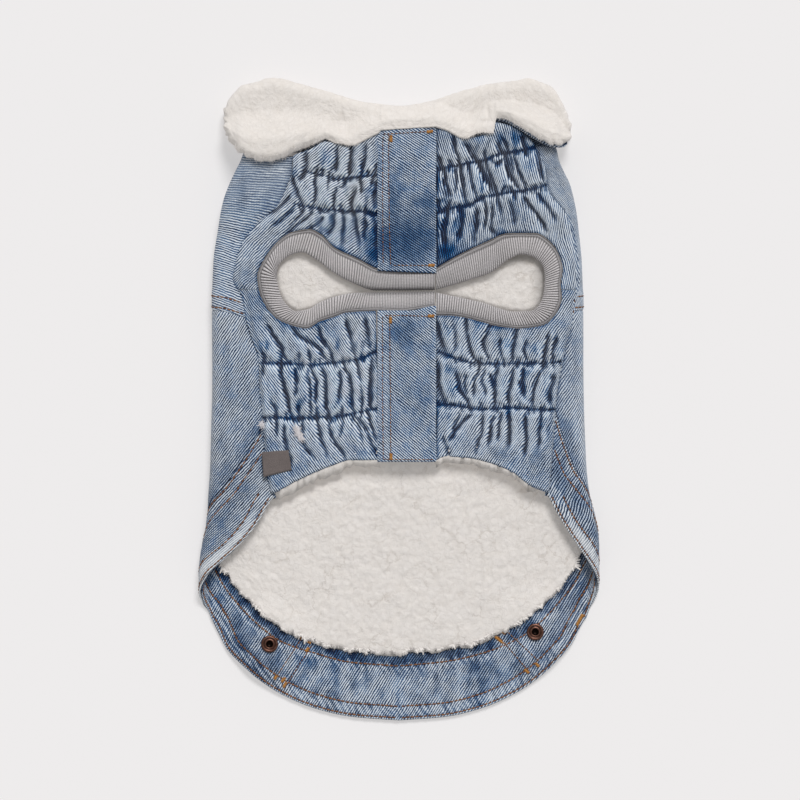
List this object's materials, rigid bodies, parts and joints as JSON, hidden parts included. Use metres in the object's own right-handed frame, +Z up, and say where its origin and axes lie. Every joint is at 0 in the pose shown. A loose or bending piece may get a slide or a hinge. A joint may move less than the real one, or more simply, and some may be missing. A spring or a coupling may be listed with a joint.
{
  "type": "denim dog jacket",
  "caption": "Washed denim dog jacket with sherpa lining and collar, laid flat belly side up: elastic-gathered fronts, ribbed leg openings and a wide waistband.",
  "frame": {"origin": "on the surface it lies on, under the middle of its outline", "axes": "+Y along the body towards the collar, +X to the right of the belly side, +Z up off the surface, out of the belly side"},
  "size_m": [0.2407, 0.3862, 0.0272],
  "materials": {
    "denim": "medium to light washed blue twill denim, matt, faded along ridges and seams",
    "denim_facing": "same twill denim, the waistband's inner side, slightly lighter and flatter",
    "sherpa": "cream sherpa pile, curly, matt",
    "rib_knit": "heather grey ribbed knit band, matt",
    "tack_metal": "antique copper tack button, dark in its recess",
    "woven_tag": "plain grey-brown woven tag, bare"
  },
  "bodies": {
    "root": {"back_yoke": "denim", "back_lower": "denim", "waistband_outer": "denim", "waistband_facing": "denim_facing", "back_lining": "sherpa", "front_left": "denim", "front_right": "denim", "front_lining_left": "sherpa", "front_lining_right": "sherpa", "rib_left": "rib_knit", "rib_right": "rib_knit", "placket_upper": "denim", "placket_lower": "denim", "collar": "sherpa", "under_collar": "denim", "tack_button_left": "tack_metal", "tack_button_right": "tack_metal", "woven_label": "woven_tag"}
  },
  "joints": []
}
